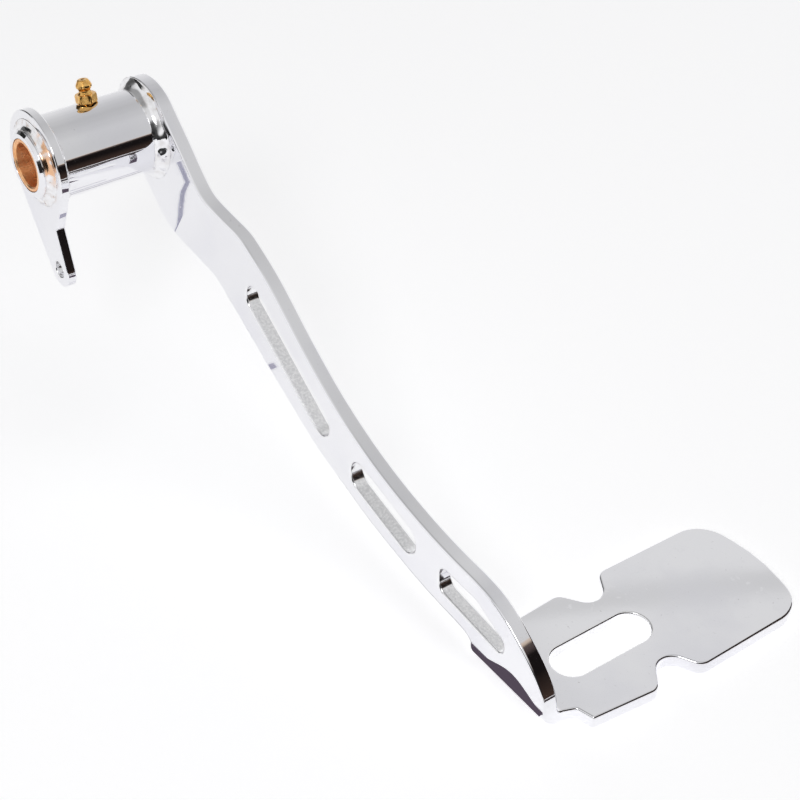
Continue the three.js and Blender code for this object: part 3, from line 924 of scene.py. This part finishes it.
def ramp_stops(node, stops):
    elements = node.color_ramp.elements
    while len(elements) > 1:
        elements.remove(elements[-1])
    elements[0].position, elements[0].color = stops[0][0], stops[0][1]
    for position, color in stops[1:]:
        elements.new(position).color = color


def grey(value):
    return rgb(value, value, value)


# Brightness of the studio round the pivot axis, by angle in degrees from +X towards +Z: on the
# arm's side (+Y), which the tube and the plates' edges mirror; on the side that the rolled edges and
# welds mirror; and further round towards -Y.
FAR_SIDE = [
    (-180, 0.80), (-150, 0.88), (-120, 0.95), (-5, 0.95), (12, 0.62), (24, 0.62), (60, 0.65),
    (80, 0.60), (95, 0.56), (107, 0.54), (122, 0.58), (138, 0.63), (150, 0.69), (165, 0.76),
    (180, 0.80),
]
NEAR_SIDE = [
    (-180, 0.15), (-165, 0.5), (-150, 0.85), (-120, 0.95), (-38, 0.95), (-24, 0.05), (20, 0.02),
    (36, 0.08), (50, 0.75), (74, 0.70), (92, 0.34), (118, 0.36), (138, 0.32), (160, 0.08),
    (180, 0.15),
]
FRONT_SIDE = [
    (-180, 0.9), (-120, 0.95), (-38, 0.95), (-26, 0.04), (30, 0.04), (44, 0.9), (80, 0.86),
    (110, 0.8), (150, 0.82), (180, 0.9),
]
FAR_SIDE_FROM = (0.0, 0.3)  # where each side gives way to the next, as the direction's Y
FRONT_SIDE_FROM = (-0.52, -0.34)
LIFT_FROM = (0.47, 0.56)  # the far end of the studio is a little brighter, as the foot plate shows
LIFT = (1.04, 1.36)
DOME_R = 3.0
# A soft dark fold in the sheet overhead, mirrored in the foot plate.
FOLD_MIDDLE = Vector((-0.388, 0.633, 0.669)).normalized()
FOLD_ACROSS = Vector((-0.659, 0.317, -0.682)).normalized()
FOLD_DEPTH = 0.84


def dome_light(tree, emission):
    """Colour by angle round the pivot axis, with a ramp for each side, and the fold across it."""
    nodes, links = tree.nodes, tree.links

    def math_node(operation, first, second):
        node = nodes.new("ShaderNodeMath")
        node.operation = operation
        links.new(first, node.inputs[0])
        links.new(second, node.inputs[1])
        return node.outputs[0]

    def mapped(source, low, high, start, end, kind="SMOOTHSTEP"):
        node = nodes.new("ShaderNodeMapRange")
        node.interpolation_type = kind
        links.new(source, node.inputs[0])
        for i, value in enumerate((low, high, start, end), 1):
            node.inputs[i].default_value = value
        return node.outputs[0]

    def mixed(share, first, second):
        node = nodes.new("ShaderNodeMix")
        node.data_type = "RGBA"
        for i, source in ((0, share), (6, first), (7, second)):
            links.new(source, node.inputs[i])
        return node.outputs[2]

    place = nodes.new("ShaderNodeTexCoord").outputs["Object"]
    unit = nodes.new("ShaderNodeVectorMath")
    unit.operation = "NORMALIZE"
    links.new(place, unit.inputs[0])

    def along(axis):
        dot = nodes.new("ShaderNodeVectorMath")
        dot.operation = "DOT_PRODUCT"
        links.new(unit.outputs[0], dot.inputs[0])
        dot.inputs[1].default_value = axis
        return dot.outputs["Value"]

    parts = nodes.new("ShaderNodeSeparateXYZ")
    links.new(unit.outputs[0], parts.inputs[0])
    x, y, z = parts.outputs
    turn = mapped(math_node("ARCTAN2", z, x), -math.pi, math.pi, 0.0, 1.0, "LINEAR")

    def side_color(side):
        ramp = nodes.new("ShaderNodeValToRGB")
        ramp.color_ramp.interpolation = "EASE"
        ramp_stops(ramp, [((a + 180) / 360, grey(v)) for a, v in side])
        links.new(turn, ramp.inputs[0])
        return ramp.outputs[0]

    color = mixed(mapped(y, *FAR_SIDE_FROM, 0.0, 1.0), side_color(NEAR_SIDE), side_color(FAR_SIDE))
    color = mixed(mapped(y, *FRONT_SIDE_FROM, 1.0, 0.0), color, side_color(FRONT_SIDE))
    links.new(color, emission.inputs[0])

    across = along(FOLD_ACROSS)
    fold = math_node("MULTIPLY", mapped(across, -0.016, -0.001, 0.0, 1.0),
                     mapped(across, -0.001, 0.014, 1.0, 0.0))
    fold = math_node("MULTIPLY", fold, mapped(along(FOLD_MIDDLE), 0.95, 0.985, 0.0, 1.0))
    shade = mapped(fold, 0.0, 1.0, 1.0, FOLD_DEPTH)
    links.new(math_node("MULTIPLY", mapped(y, *LIFT_FROM, *LIFT), shade), emission.inputs[1])


def card_light(*stops):
    """A card whose colour changes from its foot to its top; stops are (height share, colour)."""
    def build(tree, emission):
        place = tree.nodes.new("ShaderNodeTexCoord").outputs["Generated"]
        parts = tree.nodes.new("ShaderNodeSeparateXYZ")
        tree.links.new(place, parts.inputs[0])
        ramp = tree.nodes.new("ShaderNodeValToRGB")
        ramp_stops(ramp, stops)
        tree.links.new(parts.outputs[2], ramp.inputs[0])
        tree.links.new(ramp.outputs[0], emission.inputs[0])
    return build


def only_reflected(obj):
    """Studio things that are seen in the chrome and nowhere else, and cast no shadow."""
    obj.visible_camera = False
    obj.visible_diffuse = False
    obj.visible_shadow = False
    obj.visible_transmission = False
    obj.visible_volume_scatter = False


def make_dome():
    bm = bmesh.new()
    bmesh.ops.create_uvsphere(bm, u_segments=64, v_segments=32, radius=DOME_R)
    mesh = bpy.data.meshes.new("studio_dome")
    bm.to_mesh(mesh)
    bm.free()
    mesh.materials.append(glow("studio_dome_light", dome_light))
    dome = bpy.data.objects.new("studio_dome", mesh)
    bpy.context.scene.collection.objects.link(dome)
    only_reflected(dome)


def make_card(name, centre, facing, width, bottom, top, *stops):
    """An upright card whose middle stands over centre (x, y), facing that azimuth in degrees."""
    a = math.radians(facing)
    along = Vector((-math.sin(a), math.cos(a), 0)) * width / 2
    foot = Vector((centre[0], centre[1], bottom))
    up = Vector((0, 0, top - bottom))
    mesh = bpy.data.meshes.new(name)
    corners = [foot - along, foot + along, foot + along + up, foot - along + up]
    mesh.from_pydata([tuple(c) for c in corners], [], [(0, 1, 2, 3)])
    mesh.materials.append(glow(name + "_tone", card_light(*stops)))
    card = bpy.data.objects.new(name, mesh)
    bpy.context.scene.collection.objects.link(card)
    only_reflected(card)


def make_ribbon(name, path, width, tone):
    """A dark strip lying on the floor along a path of points, seen only in the chrome; the one under
    the arm is painted shadow.
    """
    lift = Vector((0, 0, cad_low.z - 0.0001))
    points = [Vector((*p, 0)) for p in path]
    corners = []
    for i, p in enumerate(points):
        run = points[min(i + 1, len(points) - 1)] - points[max(i - 1, 0)]
        side = run.normalized().cross(Vector((0, 0, 1))) * width / 2
        corners += [tuple(p - side + lift), tuple(p + side + lift)]
    faces = [(2 * i, 2 * i + 1, 2 * i + 3, 2 * i + 2) for i in range(len(points) - 1)]
    mesh = bpy.data.meshes.new(name)
    mesh.from_pydata(corners, [], faces)
    mesh.materials.append(glow(name + "_tone", card_light((0.0, tone))))
    ribbon = bpy.data.objects.new(name, mesh)
    bpy.context.scene.collection.objects.link(ribbon)
    only_reflected(ribbon)


FLOOR_HALF = 14.0
FLOOR_GLOW = 0.80


def make_floor():
    mesh = bpy.data.meshes.new("floor")
    half, z = FLOOR_HALF, cad_low.z - 0.0002
    corners = [(-half, -half, z), (half, -half, z), (half, half, z), (-half, half, z)]
    mesh.from_pydata(corners, [], [(0, 1, 2, 3)])
    g = Finish("floor_paper", metallic=0.0, specular=0.1)
    tooth = g.noise(900, 3, 0.6)
    color = g.blend(g.span(tooth, 0.3, 0.7), PAPER_LOW, PAPER_HIGH)
    mesh.materials.append(g.paint(color, g.span(tooth, 0.3, 0.7, 0.9, 1.0), [(tooth, 8e-6)]))
    g.feed(g.shader.inputs["Emission Color"], color)
    g.shader.inputs["Emission Strength"].default_value = FLOOR_GLOW
    floor = bpy.data.objects.new("floor", mesh)
    bpy.context.scene.collection.objects.link(floor)


def make_lamp(name, place, target, size, power, in_chrome=False):
    light = bpy.data.lights.new(name, "AREA")
    light.shape = "DISK"
    light.size = size
    light.energy = power
    lamp = bpy.data.objects.new(name, light)
    lamp.location = place
    lamp.rotation_mode = "QUATERNION"
    lamp.rotation_quaternion = (Vector(target) - Vector(place)).to_track_quat("-Z", "Y")
    lamp.visible_glossy = in_chrome
    bpy.context.scene.collection.objects.link(lamp)


make_floor()
make_dome()

BLACK = rgb(0.009, 0.007, 0.007)
PALE_BLACK = grey(0.02)
FAR_CARD = [
    (0.0, rgb(0.055, 0.034, 0.026)), (0.55, BLACK), (0.84, BLACK), (0.90, rgb(0.07, 0.052, 0.05)),
    (0.95, rgb(0.09, 0.068, 0.062)), (0.97, rgb(0.6, 0.48, 0.38)), (1.0, rgb(0.68, 0.58, 0.5)),
]
make_card("black_card_far", (0.385, 0.19), 25, 0.5, -0.122, 0.103, *FAR_CARD)
make_card("black_card_near", (0.20, -0.47), 113, 0.36, -0.12, 0.06, (0.0, PALE_BLACK))
make_card("black_card_left", (-0.50, -0.30), 31, 0.22, 0.02, 0.30, (0.0, PALE_BLACK))

# Ribbons on the floor: name, path in metres, width, tone. The one under the arm is painted shadow:
# dark where the arm's contact shade falls on the floor, seen in the chrome of the arm's lower edge and
# the foot's bend.
# The tone of the painted shadow under the arm, as the chrome mirrors it.
PAINTED_SHADOW_PURPLE = rgb(0.10, 0.078, 0.105)
JOGGLE_PATH = [(-0.147, -0.044), (-0.135, -0.040), (-0.126, -0.037), (-0.119, -0.030),
               (-0.109, -0.023), (-0.097, -0.015), (-0.086, -0.007)]
RIBBONS = [
    # painted shadow: the arm's contact shade on the floor, seen only in the chrome
    ("painted_shadow_under_arm", [(0.112, 0.064), (0.262, 0.064)], 0.023, PAINTED_SHADOW_PURPLE),
    ("dark_ribbon_card", [(0.41, 0.0), (0.27, 0.30)], 0.07, rgb(0.05, 0.038, 0.04)),
    ("dark_ribbon_joggle", JOGGLE_PATH, 0.0026, rgb(0.36, 0.36, 0.46)),
    ("tube_ribbon_one", [(-0.018, 0.04), (-0.022, 0.12)], 0.006, rgb(0.12, 0.1, 0.15)),
    ("tube_ribbon_two", [(0.004, 0.02), (0.0, 0.12)], 0.005, rgb(0.32, 0.3, 0.42)),
    ("tube_ribbon_three", [(0.030, 0.02), (0.027, 0.075)], 0.004, rgb(0.42, 0.41, 0.5)),
]
for name, path, width, tone in RIBBONS:
    make_ribbon(name, path, width, tone)
make_lamp("key_lamp", (0.25, 0.55, 1.7), (0.12, 0.06, -0.05), 1.6, 5.6)
make_lamp("front_lamp", (0.62, -0.60, 0.66), (0.0, 0.0, 0.0), 0.3, 1.7, in_chrome=True)

# The world is only a pale backdrop behind the floor's edge: it lights nothing.
world = bpy.data.worlds.new("studio")
bpy.context.scene.world = world
world.use_nodes = True
backdrop = world.node_tree.nodes["Background"]
backdrop.inputs["Color"].default_value = grey(1.0)
backdrop.inputs["Strength"].default_value = 0.82
world.cycles_visibility.diffuse = False

CAMERA_PLACE = (0.5861, -0.2586, 0.3880)
CAMERA_RIGHT = Vector((0.5891, 0.8073, 0.0336))
CAMERA_FORWARD = Vector((-0.6172, 0.4764, -0.6262))
camera_data = bpy.data.cameras.new("camera")
camera_data.sensor_width = 36.0
camera_data.lens = 82.1
camera_data.clip_start = 0.01
camera_data.clip_end = 50.0
camera = bpy.data.objects.new("camera", camera_data)
bpy.context.scene.collection.objects.link(camera)
right = CAMERA_RIGHT.normalized()
forward = CAMERA_FORWARD.normalized()
up = right.cross(forward).normalized()
right = forward.cross(up)
camera.matrix_world = Matrix((
    (right.x, up.x, -forward.x, CAMERA_PLACE[0]),
    (right.y, up.y, -forward.y, CAMERA_PLACE[1]),
    (right.z, up.z, -forward.z, CAMERA_PLACE[2]),
    (0, 0, 0, 1),
))
bpy.context.scene.camera = camera
bpy.context.scene.view_settings.view_transform = "Standard"
